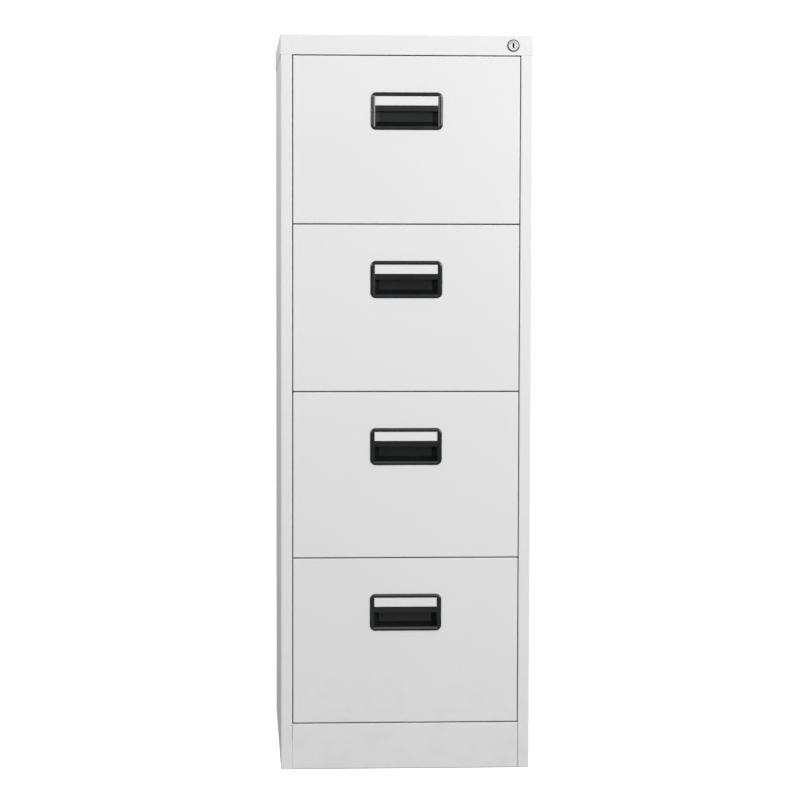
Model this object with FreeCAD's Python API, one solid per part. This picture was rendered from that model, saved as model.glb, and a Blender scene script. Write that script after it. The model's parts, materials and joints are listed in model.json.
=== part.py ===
import FreeCAD, Part
import math
import os

# Four-drawer steel filing cabinet, in millimetres.
# Origin: middle of the footprint, on the floor. -Y is the front, +X is the right-hand side, +Z is up.

V = FreeCAD.Vector

# Overall sizes
WIDTH = 452.0               # across the side panels
DEPTH = 620.0               # front of the cap to its back
HEIGHT = 1330.0             # floor to the top of the cap
DRAWERS = 4

# Sheet steel
SHEET = 0.8                 # carcass panels, drawer fronts and drawer bodies
BEND = 0.8                  # inside radius of their folds
FIT = 0.2                   # clearance between nested panels of the carcass
GAP = 2.0                   # seen above and below each drawer front
SIDE_GAP = 1.7              # seen at each side of a drawer front

# Carcass
CAP_RAIL = 36.0             # height of the cap's flanges and of its front rail
CAP_SEAM = 0.2              # between the rail and the top of a stile
STILE = 20.3                # width of a stile's face
STILE_RETURN = 12.0         # depth of the fold behind a stile, and of the rail's lip
REAR_FLANGE = 15.0
FLOOR_FLANGE = 15.0         # turned in under each side panel, stands on the floor
PLINTH_TOP = 84.0
PLINTH_RAISE = 1.0          # plinth's lower edge above the floor
PLINTH_LIP = 30.0           # plinth's upper fold, laid on the base pan
PLINTH_TOE = 14.0           # plinth's lower fold
PLINTH_SEAM = 0.5
BASE_DEPTH = 30.0           # height of the base pan's flanges
BASE_SETBACK = 15.0         # front of the base pan behind the cabinet's front
BACK_RAISE = 2.0            # lower edge of the back panel above the floor

# Slide posts: hat sections fixed to the side panels
SLIDE_FACE = 20.0           # from a side panel's outside to the slides
POST_SHEET = 1.2
POST_WEB = 30.0
POST_FLANGE = 10.0
POST_FRONT = 60.0           # front post's web behind the cabinet's front
POST_REAR = 70.0            # rear post's web ahead of the cabinet's back
POST_HEADROOM = 9.0         # below the cap's rail

# Drawers
FRONT_DEPTH = 19.8          # depth of a drawer front's flanges
LINER_BACK = 20.0           # back face of the liner behind the cabinet's front
LINER_FLANGE = 9.0
LINER_FIT = 0.1
BODY_LIFT = 14.0            # body's underside above the front's lower edge
BODY_DROP = 38.0            # body's top below the front's upper edge
BODY_LIP = 8.0              # fold along the top of each side, for hanging files
BODY_LIP_DOWN = 5.0
BODY_REAR = 42.0            # back of the body ahead of the cabinet's back
BODY_TAB = 8.0              # tabs turned in from the sides, laid on the liner
BODY_TAB_INSET = 25.0       # ends of those tabs from the body's top
DRAWER_BACK_FLANGE = 12.0
DRAWER_BACK_DROP = 6.0      # top of the back below the top of the sides

# Slides: three nested steel channels, heights and depths measured from the post's face
SLIDE_SHEET = 1.2
SLIDE_BEND = 0.6
SLIDE_HEIGHT = 45.0
SLIDE_THICKNESS = 12.7
SLIDE_RUN = 0.4             # running gap between one channel's lip and the next channel
BALL_ROOM = 3.8             # height of a ball track
OUTER_REACH = 10.0
MIDDLE_START = 4.2
MIDDLE_REACH = 11.2
INNER_START = 6.5
SLIDE_LIFT = 60.0           # slide's lower edge above the front's lower edge
SLIDE_FRONT = 2.0           # front of the slides behind the liner
SLIDE_REAR = 6.0            # back of the slides ahead of the body's back
SCREW_RADIUS = 2.0
SCREW_HOLE = 0.1            # clearance on the radius
SCREW_HEAD = 4.0
SCREW_HEAD_HEIGHT = 1.4
SCREW_LENGTH = 8.0

# Handle: one black moulding with a label window over a finger recess
HANDLE_WIDTH = 130.0
HANDLE_HEIGHT = 67.4
HANDLE_DROP = 64.8          # top of the handle below the front's upper edge
HANDLE_CORNER = 10.0
HANDLE_PROUD = 2.4
RING_FALL = 1.6             # fall of the ring from its crest, outwards and inwards
RING_OUTER = 3.2            # width of its outer slope
BEZEL = 7.0                 # ring above the window and below the recess
BEZEL_SIDE = 8.2            # ring at the left and right
RING_INNER = 3.0            # width of its inner slope, down to the window and the grip
WINDOW_HEIGHT = 16.4
GRIP_HEIGHT = 10.3          # bar between the window and the recess
GRIP_THICKNESS = 4.5
CUP_WALL = 1.8
CUP_BACK_GAP = 1.2          # back of the cup to the liner
CUP_FIT = 0.5               # clearance in the front's cut-out
RECESS_SLOPE = 8.4          # rise of the recess's lower facet
RECESS_TAPER = 9.0          # narrowing of the recess at each side
RECESS_ROUND = 1.0          # radius along the back of the recess
RECESS_TOP = 14.0           # top of the finger space below the handle's top
CARD_THICKNESS = 0.5
CARD_POCKET = 0.8
CARD_HIDDEN = 0.8           # card's edge behind the window's frame
CARD_FIT = 0.3

# Lock: cylinder in the cap's rail that lifts a bar behind the right-hand stile
LOCK_INSET = 34.5           # axis from the side panel's outside
LOCK_DROP = 18.5            # axis below the top of the cap
LOCK_FLANGE_RADIUS = 11.0
LOCK_FLANGE = 2.0
LOCK_BARREL_RADIUS = 9.0
LOCK_BARREL = 20.0
LOCK_HOLE_FIT = 0.2
LOCK_NUT_RADIUS = 13.5
LOCK_NUT = 5.0
PLUG_RADIUS = 6.5
PLUG_FIT = 0.08
PLUG_PROUD = 0.4
KEYWAY_WIDTH = 2.0
KEYWAY_HEIGHT = 8.0
KEYWAY_DEPTH = 12.0
CAM_GAP = 0.5
CAM_SHEET = 2.0
CAM_HUB = 7.0
CAM_ARM = 8.5               # plug's axis to the cam's pin
CAM_ARM_WIDTH = 7.0
CAM_PIN_RADIUS = 1.5
CAM_PIN = 6.0
CAM_START = -45.0           # degrees from +X, bar down
CAM_SCREW_HEAD = 3.5
CAM_SCREW_HEAD_HEIGHT = 2.0
SLOT_PLAY = 0.5             # pin in the bar's slot, above and below
BAR_SHEET = 2.0
BAR_WIDTH = 18.0
BAR_FACE = 17.0             # bar's outer face from the side panel's outside
BAR_BEHIND = 22.0           # front edge of the bar behind the cabinet's front
BAR_ARM = 12.0
BAR_ARM_BEHIND = 24.5
BAR_ARM_END = 4.0           # arm past the end of its slot
HOOK_LENGTH = 11.0
HOOK_HEIGHT = 14.0
CATCH_LIFT = 150.0          # catch's lower edge above the front's lower edge
CATCH_HEIGHT = 16.0
CATCH_LENGTH = 20.0
CATCH_SHEET = 2.0
CATCH_TIP_GAP = 3.0         # catch's tip to the slide post's face
CATCH_CLEAR = 3.0           # catch over the hook, and behind it
GUIDE_HEIGHT = 12.0
GUIDE_WALL = 3.2
GUIDE_FIT = 0.3
GUIDE_SHY = 1.0             # guide's inner face beyond the slide post's face, towards the drawer
BAR_TAIL = 30.0             # bar below its lowest guide

# Places that follow from the sizes above
half = WIDTH / 2
front = -DEPTH / 2
back = DEPTH / 2
rail_bottom = HEIGHT - CAP_RAIL
under_cap = HEIGHT - SHEET - BEND
body_back = back - SHEET - FIT
wall_inside = half - SHEET
slide_face = half - SLIDE_FACE
front_height = (rail_bottom - PLINTH_TOP - GAP * (DRAWERS + 1)) / DRAWERS
front_half = half - STILE - SIDE_GAP
liner_back = front + LINER_BACK
drawer_half = slide_face - SLIDE_THICKNESS
drawer_rear = back - BODY_REAR
slide_start = liner_back + SLIDE_FRONT
slide_end = drawer_rear - SLIDE_REAR
base_top = PLINTH_TOP - SHEET
lock_x = half - LOCK_INSET
lock_z = HEIGHT - LOCK_DROP
post_webs = [front + POST_FRONT, back - POST_REAR - POST_WEB]


def front_bottom(number):
    """Lower edge of a drawer front. Drawer 1 is the top one."""
    return rail_bottom - number * (front_height + GAP)


def box(x0, x1, y0, y1, z0, z1):
    return Part.makeBox(x1 - x0, y1 - y0, z1 - z0, V(x0, y0, z0))


def rod(radius, start, direction, length):
    return Part.makeCylinder(radius, length, start, direction)


def joined(shapes):
    return shapes[0].multiFuse(shapes[1:]).removeSplitter()


def mirrored(shape):
    """The same piece for the other side of the cabinet."""
    return shape.mirror(V(0, 0, 0), V(1, 0, 0))


def pair(shape):
    return Part.makeCompound([shape, mirrored(shape)])


def write(node, shape):
    solids = [solid for solid in shape.Solids]
    result = solids[0] if len(solids) == 1 else Part.makeCompound(solids)
    result.exportStep("parts/" + node + ".step")


def rounded_face(points, radii, place):
    """Flat face through 2-D points, each corner rounded by its own radius."""
    ends = []
    for i, corner in enumerate(points):
        before = (V(*points[i - 1], 0) - V(*corner, 0)).normalize()
        after = (V(*points[(i + 1) % len(points)], 0) - V(*corner, 0)).normalize()
        here = V(*corner, 0)
        if radii[i] == 0:
            ends.append((here, here, here))
            continue
        half_angle = before.getAngle(after) / 2
        reach = radii[i] / math.tan(half_angle)
        inward = (before + after).normalize()
        middle = here + inward * (radii[i] / math.sin(half_angle) - radii[i])
        ends.append((here + before * reach, middle, here + after * reach))
    edges = []
    for i, (start, middle, end) in enumerate(ends):
        if radii[i] > 0:
            edges.append(Part.Arc(place(start), place(middle), place(end)).toShape())
        following = ends[(i + 1) % len(ends)][0]
        edges.append(Part.makeLine(place(end), place(following)))
    return Part.Face(Part.Wire(edges))


def plan(height):
    return lambda p: V(p.x, p.y, height)


def front_view(depth):
    return lambda p: V(p.x, depth, p.y)


def side_view(across):
    return lambda p: V(across, p.x, p.y)


def folded(points, sheet, bend, side, place, along):
    """Folded strip: the points lie on one face, and the sheet lies to their left (1) or right (-1)."""
    headings = []
    for first, second in zip(points, points[1:]):
        headings.append((V(*second, 0) - V(*first, 0)).normalize())
    normals = [V(-heading.y, heading.x, 0) * side for heading in headings]
    other_face = []
    near_radii = []
    far_radii = []
    for i, point in enumerate(points):
        if i in (0, len(points) - 1):
            shift = normals[min(i, len(normals) - 1)]
            near_radii.append(0)
            far_radii.append(0)
        else:
            shift = normals[i - 1] + normals[i]
            turn = headings[i - 1].cross(headings[i]).z * side
            near_radii.append(bend + sheet if turn > 0 else bend)
            far_radii.append(bend if turn > 0 else bend + sheet)
        moved = V(*point, 0) + shift * sheet
        other_face.append((moved.x, moved.y))
    outline = list(points) + other_face[::-1]
    radii = near_radii + far_radii[::-1]
    return rounded_face(outline, radii, place).extrude(along)


def edges_off(shape, axis, level):
    """Edges that don't lie wholly in the plane where axis has this level."""
    kept = []
    for edge in shape.Edges:
        places = [getattr(vertex.Point, axis) for vertex in edge.Vertexes]
        if any(abs(place - level) > 1e-6 for place in places):
            kept.append(edge)
    return kept


def pan(low, high, axis, toward, sheet=SHEET, bend=BEND):
    """Five-walled pressing between two corners, open along axis towards -1 or +1."""
    outer = box(low[0], high[0], low[1], high[1], low[2], high[2])
    inner_low = [value + sheet for value in low]
    inner_high = [value - sheet for value in high]
    index = "xyz".index(axis)
    if toward < 0:
        inner_low[index] = low[index] - bend - sheet
        mouths = (low[index], inner_low[index])
    else:
        inner_high[index] = high[index] + bend + sheet
        mouths = (high[index], inner_high[index])
    inner = box(inner_low[0], inner_high[0], inner_low[1], inner_high[1], inner_low[2], inner_high[2])
    outer = outer.makeFillet(bend + sheet, edges_off(outer, axis, mouths[0]))
    inner = inner.makeFillet(bend, edges_off(inner, axis, mouths[1]))
    return outer.cut(inner)


# Carcass

def make_side_panel():
    """Right-hand side panel with its stile, rear flange and floor flange."""
    side_back = body_back - SHEET
    section = [
        (half - REAR_FLANGE, side_back),
        (half, side_back),
        (half, front),
        (half - STILE, front),
        (half - STILE, front + STILE_RETURN),
    ]
    wall = folded(section, SHEET, BEND, -1, plan(0), V(0, 0, under_cap))
    stile_top = rail_bottom - CAP_SEAM
    above_stile = box(0, half + SHEET, front - SHEET, front + 2 * (BEND + SHEET), stile_top, HEIGHT)
    behind_rail = box(0, wall_inside, front, front + STILE_RETURN + SHEET, stile_top, HEIGHT)
    flange = box(half - FLOOR_FLANGE, wall_inside + SHEET / 2, front + STILE_RETURN, side_back - SHEET,
                 0, SHEET)
    return joined([wall.cut(above_stile).cut(behind_rail), flange])


def make_top_cap():
    reach = half + FIT + SHEET
    shell = pan((-reach, front, rail_bottom), (reach, back, HEIGHT), "z", -1)
    lip_half = half - STILE - FIT
    lip = box(-lip_half, lip_half, front, front + STILE_RETURN, rail_bottom, rail_bottom + SHEET)
    hole = rod(LOCK_BARREL_RADIUS + LOCK_HOLE_FIT, V(lock_x, front - SHEET, lock_z), V(0, 1, 0), 3 * SHEET)
    return joined([shell, lip]).cut(hole)


def make_back_panel():
    edge = half - FIT
    return box(-edge, edge, body_back - SHEET, body_back, BACK_RAISE, under_cap)


def make_base_pan():
    edge = wall_inside - FIT
    rear = body_back - 2 * SHEET - FIT
    return pan((-edge, front + BASE_SETBACK, base_top - BASE_DEPTH), (edge, rear, base_top), "z", -1)


def make_plinth():
    edge = half - STILE - PLINTH_SEAM
    section = [
        (front + PLINTH_LIP, PLINTH_TOP),
        (front, PLINTH_TOP),
        (front, PLINTH_RAISE),
        (front + PLINTH_TOE, PLINTH_RAISE),
    ]
    return folded(section, SHEET, BEND, 1, side_view(-edge), V(2 * edge, 0, 0))


def post_screw_places():
    """Where a slide's screws go on the right-hand side, as (y, z)."""
    places = []
    for web in post_webs:
        for number in range(1, DRAWERS + 1):
            places.append((web + POST_WEB / 2, front_bottom(number) + SLIDE_LIFT + SLIDE_HEIGHT / 2))
    return places


def screw_holes(start, length, inside):
    """Clearance holes for the slide screws that lie between two depths."""
    holes = []
    for y, z in post_screw_places():
        if inside[0] < y < inside[1]:
            holes.append(rod(SCREW_RADIUS + SCREW_HOLE, V(start, y, z), V(1, 0, 0), length))
    return Part.makeCompound(holes)


def make_post(web):
    """Right-hand post whose web starts at this depth."""
    section = [
        (wall_inside, web - POST_FLANGE),
        (wall_inside, web),
        (slide_face + POST_SHEET, web),
        (slide_face + POST_SHEET, web + POST_WEB),
        (wall_inside, web + POST_WEB),
        (wall_inside, web + POST_WEB + POST_FLANGE),
    ]
    length = rail_bottom - POST_HEADROOM - base_top
    post = folded(section, POST_SHEET, BEND, 1, plan(base_top), V(0, 0, length))
    return post.cut(screw_holes(slide_face - POST_SHEET, 3 * POST_SHEET, (web, web + POST_WEB)))


def make_slide_screws():
    screws = []
    for y, z in post_screw_places():
        seat = slide_face - SLIDE_SHEET
        head = rod(SCREW_HEAD, V(seat - SCREW_HEAD_HEIGHT, y, z), V(1, 0, 0), SCREW_HEAD_HEIGHT)
        shank = rod(SCREW_RADIUS, V(seat, y, z), V(1, 0, 0), SCREW_LENGTH)
        screws.append(pair(head.fuse(shank)))
    return Part.makeCompound(screws)


# Slides

def channel(profile, side, middle_z):
    """Right-hand slide member from a profile of (depth from the post's face, height from the middle)."""
    points = [(slide_face - depth, middle_z + height) for depth, height in profile]
    length = slide_end - slide_start
    return folded(points, SLIDE_SHEET, SLIDE_BEND, side, front_view(slide_start), V(0, length, 0))


def c_profile(near, far, height, lip):
    upper = [(far, height - lip), (far, height), (near, height)]
    return upper + [(depth, -level) for depth, level in reversed(upper)]


outer_height = SLIDE_HEIGHT / 2
middle_height = outer_height - SLIDE_SHEET - BALL_ROOM
inner_height = middle_height - SLIDE_SHEET - BALL_ROOM
lip_length = SLIDE_SHEET + BALL_ROOM - SLIDE_RUN


def slide_middle(number):
    return front_bottom(number) + SLIDE_LIFT + SLIDE_HEIGHT / 2


def make_outer_slides(number):
    profile = c_profile(0, OUTER_REACH, outer_height, lip_length)
    member = channel(profile, -1, slide_middle(number))
    holes = screw_holes(slide_face - 2 * SLIDE_SHEET, 3 * SLIDE_SHEET, (slide_start, slide_end))
    return pair(member.cut(holes))


def make_middle_slides(number):
    profile = c_profile(MIDDLE_START, MIDDLE_REACH, middle_height, lip_length)
    return pair(channel(profile, -1, slide_middle(number)))


def make_drawer_slides(number):
    profile = [
        (INNER_START, inner_height),
        (SLIDE_THICKNESS, inner_height),
        (SLIDE_THICKNESS, -inner_height),
        (INNER_START, -inner_height),
    ]
    return pair(channel(profile, 1, slide_middle(number)))


# Drawers

def handle_top(number):
    return front_bottom(number) + front_height - HANDLE_DROP


def cup_edges(number):
    """Left and right half-width, bottom and top of the handle's cup behind the front."""
    cup_half = HANDLE_WIDTH / 2 - BEZEL_SIDE + CUP_WALL
    bottom = handle_top(number) - HANDLE_HEIGHT + BEZEL - CUP_WALL
    top = handle_top(number) - BEZEL + CUP_WALL
    return cup_half, bottom, top


def make_front(number):
    low = front_bottom(number)
    shell = pan((-front_half, front, low), (front_half, front + FRONT_DEPTH, low + front_height), "y", 1)
    cup_half, bottom, top = cup_edges(number)
    edge = cup_half + CUP_FIT
    cut_out = box(-edge, edge, front - SHEET, front + 2 * SHEET, bottom - CUP_FIT, top + CUP_FIT)
    return shell.cut(cut_out)


def make_liner(number):
    shrink = SHEET + LINER_FIT
    low = (-front_half + shrink, liner_back - LINER_FLANGE, front_bottom(number) + shrink)
    high = (front_half - shrink, liner_back, front_bottom(number) + front_height - shrink)
    return pan(low, high, "y", -1)


def body_levels(number):
    low = front_bottom(number)
    return low + BODY_LIFT, low + front_height - BODY_DROP


def make_body(number):
    bottom, top = body_levels(number)
    section = [
        (-drawer_half + BODY_LIP, top - BODY_LIP_DOWN),
        (-drawer_half + BODY_LIP, top),
        (-drawer_half, top),
        (-drawer_half, bottom),
        (drawer_half, bottom),
        (drawer_half, top),
        (drawer_half - BODY_LIP, top),
        (drawer_half - BODY_LIP, top - BODY_LIP_DOWN),
    ]
    length = drawer_rear - liner_back
    tub = folded(section, SHEET, BEND, 1, front_view(liner_back), V(0, length, 0))
    tab = box(drawer_half - BODY_TAB, drawer_half - SHEET / 2, liner_back, liner_back + SHEET,
              bottom + BODY_TAB_INSET, top - BODY_TAB_INSET)
    return joined([tub, tab, mirrored(tab)])


def make_drawer_back(number):
    bottom, top = body_levels(number)
    edge = drawer_half - SHEET
    section = [
        (-edge, drawer_rear - DRAWER_BACK_FLANGE),
        (-edge, drawer_rear),
        (edge, drawer_rear),
        (edge, drawer_rear - DRAWER_BACK_FLANGE),
    ]
    height = top - DRAWER_BACK_DROP - bottom - SHEET - BEND
    return folded(section, SHEET, BEND, -1, plan(bottom + SHEET + BEND), V(0, 0, height))


def make_handle(number):
    top = handle_top(number)
    bottom = top - HANDLE_HEIGHT
    wide = HANDLE_WIDTH / 2
    mouth = front - HANDLE_PROUD
    outline = [(-wide, bottom), (wide, bottom), (wide, top), (-wide, top)]
    edge = mouth + RING_FALL
    plate = rounded_face(outline, [HANDLE_CORNER] * 4, front_view(edge))
    crown = [(-wide + RING_OUTER, bottom + RING_OUTER), (wide - RING_OUTER, bottom + RING_OUTER),
             (wide - RING_OUTER, top - RING_OUTER), (-wide + RING_OUTER, top - RING_OUTER)]
    crest = rounded_face(crown, [HANDLE_CORNER - RING_OUTER] * 4, front_view(mouth))
    slope = Part.makeLoft([plate.OuterWire, crest.OuterWire], True, True)
    plate = plate.extrude(V(0, HANDLE_PROUD - RING_FALL, 0)).fuse(slope)
    cup_half, cup_bottom, cup_top = cup_edges(number)
    cup_back = liner_back - SHEET - CUP_BACK_GAP
    cup = box(-cup_half, cup_half, front - HANDLE_PROUD / 2, cup_back, cup_bottom, cup_top)
    body = plate.fuse(cup).removeSplitter()

    # Slope inside the ring, down to the level of the grip
    opening = wide - BEZEL_SIDE
    window_top = top - BEZEL
    recess_bottom = bottom + BEZEL
    level = mouth + RING_FALL
    rings = []
    for depth, slope in ((mouth, RING_INNER), (level, 0)):
        across = opening + slope
        low, high = recess_bottom - slope, window_top + slope
        lower = [V(-across, depth, low), V(across, depth, low)]
        upper = [V(across, depth, high), V(-across, depth, high)]
        rings.append(Part.makePolygon(lower + upper + lower[:1]))
    body = body.cut(Part.makeLoft(rings, True, True))

    # Finger recess: sloped below and at its sides, and reaching up behind the grip
    grip_bottom = window_top - WINDOW_HEIGHT - GRIP_HEIGHT
    deep = cup_back - CUP_WALL
    behind_grip = mouth + GRIP_THICKNESS
    recess_top = top - RECESS_TOP
    profile = [
        (mouth, recess_bottom),
        (level, recess_bottom),
        (deep, recess_bottom + RECESS_SLOPE),
        (deep, recess_top),
        (behind_grip, recess_top),
        (behind_grip, grip_bottom),
        (mouth, grip_bottom),
    ]
    radii = [0, 0, RECESS_ROUND, RECESS_ROUND, 0, GRIP_THICKNESS / 4, 0]
    hollow = rounded_face(profile, radii, side_view(-opening)).extrude(V(2 * opening, 0, 0))
    narrow = opening - RECESS_TAPER
    right = [(opening, mouth), (opening, level), (narrow, deep)]
    taper = right + [(-across, depth) for across, depth in reversed(right)]
    tapered = rounded_face(taper, [0] * 6, plan(bottom)).extrude(V(0, 0, HANDLE_HEIGHT))
    body = body.cut(hollow.common(tapered))

    # Label window, and the pocket that holds the card's edges
    window = box(-opening, opening, mouth, card_back(), window_top - WINDOW_HEIGHT, window_top)
    hidden = CARD_HIDDEN + CARD_FIT
    pocket = box(-opening - hidden, opening + hidden, card_back() - CARD_POCKET, card_back(),
                 window_top - WINDOW_HEIGHT - hidden, window_top + hidden)
    return body.cut(window).cut(pocket)


def card_back():
    """Depth of the face that a label card lies on."""
    return front + FIT


def make_label_card(number):
    window_top = handle_top(number) - BEZEL
    edge = HANDLE_WIDTH / 2 - BEZEL_SIDE + CARD_HIDDEN
    return box(-edge, edge, card_back() - CARD_THICKNESS, card_back(),
               window_top - WINDOW_HEIGHT - CARD_HIDDEN, window_top + CARD_HIDDEN)


def hook_place(number):
    """Lower edge of the bar's hook for a drawer."""
    return front_bottom(number) + CATCH_LIFT - CATCH_CLEAR - HOOK_HEIGHT


def make_catch(number):
    low = front_bottom(number) + CATCH_LIFT
    ahead = front + BAR_BEHIND + BAR_SHEET + CATCH_CLEAR
    tip = slide_face - CATCH_TIP_GAP
    section = [(tip, ahead), (drawer_half, ahead), (drawer_half, ahead + CATCH_LENGTH)]
    return folded(section, CATCH_SHEET, BEND, -1, plan(low), V(0, 0, CATCH_HEIGHT))


# Lock

def make_lock_housing():
    axis = V(0, 1, 0)
    flange = rod(LOCK_FLANGE_RADIUS, V(lock_x, front - LOCK_FLANGE, lock_z), axis, LOCK_FLANGE)
    rim = [edge for edge in flange.Edges if abs(edge.CenterOfMass.y - front + LOCK_FLANGE) < 1e-6]
    flange = flange.makeFillet(LOCK_FLANGE / 2, rim)
    barrel = rod(LOCK_BARREL_RADIUS, V(lock_x, front, lock_z), axis, LOCK_BARREL)
    bore_start = V(lock_x, front - 2 * LOCK_FLANGE, lock_z)
    bore = rod(PLUG_RADIUS + PLUG_FIT, bore_start, axis, LOCK_BARREL + 3 * LOCK_FLANGE)
    return flange.fuse(barrel).cut(bore)


def make_lock_nut():
    start = V(lock_x, front + SHEET, lock_z)
    corners = []
    for side in range(6):
        angle = math.radians(60 * side)
        across = LOCK_NUT_RADIUS * math.cos(angle)
        up = LOCK_NUT_RADIUS * math.sin(angle)
        corners.append((lock_x + across, lock_z + up))
    body = rounded_face(corners, [0] * 6, front_view(start.y)).extrude(V(0, LOCK_NUT, 0))
    return body.cut(rod(LOCK_BARREL_RADIUS + SCREW_HOLE, start - V(0, SHEET, 0), V(0, 1, 0), 2 * LOCK_NUT))


cam_front = front + LOCK_BARREL + CAM_GAP


def make_lock_plug():
    start = front - LOCK_FLANGE - PLUG_PROUD
    plug = rod(PLUG_RADIUS, V(lock_x, start, lock_z), V(0, 1, 0), cam_front - start)
    keyway = box(lock_x - KEYWAY_WIDTH / 2, lock_x + KEYWAY_WIDTH / 2,
                 start - PLUG_PROUD, start + KEYWAY_DEPTH,
                 lock_z - KEYWAY_HEIGHT / 2, lock_z + KEYWAY_HEIGHT / 2)
    thread_start = V(lock_x, cam_front - SCREW_LENGTH, lock_z)
    thread = rod(SCREW_RADIUS + SCREW_HOLE, thread_start, V(0, 1, 0), SCREW_LENGTH)
    return plug.cut(keyway).cut(thread)


def cam_pin_place():
    angle = math.radians(CAM_START)
    return lock_x + CAM_ARM * math.cos(angle), lock_z + CAM_ARM * math.sin(angle)


def make_lock_cam():
    axis = V(0, 1, 0)
    hub = rod(CAM_HUB, V(lock_x, cam_front, lock_z), axis, CAM_SHEET)
    pin_x, pin_z = cam_pin_place()
    end = rod(CAM_ARM_WIDTH / 2, V(pin_x, cam_front, pin_z), axis, CAM_SHEET)
    arm = box(lock_x, lock_x + CAM_ARM, cam_front, cam_front + CAM_SHEET,
              lock_z - CAM_ARM_WIDTH / 2, lock_z + CAM_ARM_WIDTH / 2)
    arm.rotate(V(lock_x, cam_front, lock_z), V(0, -1, 0), CAM_START)
    pin = rod(CAM_PIN_RADIUS, V(pin_x, cam_front, pin_z), axis, CAM_SHEET + CAM_PIN)
    hole = rod(SCREW_RADIUS + SCREW_HOLE, V(lock_x, cam_front, lock_z), axis, CAM_SHEET)
    return joined([hub, arm, end, pin]).cut(hole)


def make_cam_screw():
    seat = cam_front + CAM_SHEET
    head = rod(CAM_SCREW_HEAD, V(lock_x, seat, lock_z), V(0, 1, 0), CAM_SCREW_HEAD_HEIGHT)
    shank_length = SCREW_LENGTH + CAM_SHEET - CAM_GAP
    shank = rod(SCREW_RADIUS, V(lock_x, seat - shank_length, lock_z), V(0, 1, 0), shank_length)
    return head.fuse(shank)


bar_outer = half - BAR_FACE
bar_inner = bar_outer - BAR_SHEET
bar_front = front + BAR_BEHIND


def make_lock_bar():
    pin_z = cam_pin_place()[1]
    lowest = hook_place(DRAWERS) - GUIDE_FIT - GUIDE_HEIGHT - BAR_TAIL
    return box(bar_inner, bar_outer, bar_front, bar_front + BAR_WIDTH, lowest, pin_z + BAR_ARM / 2)


def make_bar_hooks():
    """Plates welded to the bar's inner face, one ahead of each drawer's catch when the bar is up."""
    hooks = []
    for number in range(1, DRAWERS + 1):
        low = hook_place(number)
        hooks.append(box(bar_outer - HOOK_LENGTH, bar_inner, bar_front, bar_front + BAR_SHEET,
                         low, low + HOOK_HEIGHT))
    return Part.makeCompound(hooks)


def make_bar_arm():
    """Slotted plate welded to the top of the bar, for the cam's pin."""
    pin_x, pin_z = cam_pin_place()
    room = CAM_PIN_RADIUS + SLOT_PLAY
    slot_left = pin_x - room
    slot_right = lock_x + CAM_ARM + room
    arm_front = front + BAR_ARM_BEHIND
    arm = box(slot_left - BAR_ARM_END, bar_inner, arm_front, arm_front + BAR_SHEET,
              pin_z - BAR_ARM / 2, pin_z + BAR_ARM / 2)
    outline = [(slot_left, pin_z - room), (slot_right, pin_z - room), (slot_right, pin_z + room),
               (slot_left, pin_z + room)]
    slot = rounded_face(outline, [room / 2] * 4, front_view(arm_front - BAR_SHEET))
    return arm.cut(slot.extrude(V(0, 3 * BAR_SHEET, 0)))


def make_bar_guides():
    """Nylon blocks on the side panel; each hook rests on the one below it."""
    guides = []
    for number in range(1, DRAWERS + 1):
        top = hook_place(number) - GUIDE_FIT
        block = box(slide_face - GUIDE_SHY, wall_inside,
                    bar_front - GUIDE_WALL, bar_front + BAR_WIDTH + GUIDE_WALL, top - GUIDE_HEIGHT, top)
        upright = [edge for edge in block.Edges if edge.Length == GUIDE_HEIGHT]
        block = block.makeFillet(GUIDE_FIT, upright)
        way = box(bar_inner - GUIDE_FIT, bar_outer + GUIDE_FIT, bar_front - GUIDE_FIT,
                  bar_front + BAR_WIDTH + GUIDE_FIT, top - 2 * GUIDE_HEIGHT, top + GUIDE_HEIGHT)
        guides.append(block.cut(way))
    return Part.makeCompound(guides)


def build():
    os.makedirs("parts", exist_ok=True)
    side_panel = make_side_panel()
    write("side_panel_right", side_panel)
    write("side_panel_left", mirrored(side_panel))
    write("back_panel", make_back_panel())
    write("top_cap", make_top_cap())
    write("base_pan", make_base_pan())
    write("plinth", make_plinth())
    for place, web in zip(("front", "rear"), post_webs):
        post = make_post(web)
        write(place + "_post_right", post)
        write(place + "_post_left", mirrored(post))
    write("slide_screws", make_slide_screws())
    write("lock_housing", make_lock_housing())
    write("lock_nut", make_lock_nut())
    write("lock_plug", make_lock_plug())
    write("lock_cam", make_lock_cam())
    write("lock_cam_screw", make_cam_screw())
    write("lock_bar", make_lock_bar())
    write("lock_bar_hooks", make_bar_hooks())
    write("lock_bar_arm", make_bar_arm())
    write("lock_bar_guides", make_bar_guides())
    for number in range(1, DRAWERS + 1):
        name = "drawer_" + str(number) + "_"
        write(name + "front", make_front(number))
        write(name + "liner", make_liner(number))
        write(name + "body", make_body(number))
        write(name + "back", make_drawer_back(number))
        write(name + "handle", make_handle(number))
        write(name + "label_card", make_label_card(number))
        write(name + "catch", make_catch(number))
        write(name + "slides", make_drawer_slides(number))
        write("middle_slides_" + str(number), make_middle_slides(number))
        write("outer_slides_" + str(number), make_outer_slides(number))


build()
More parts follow.
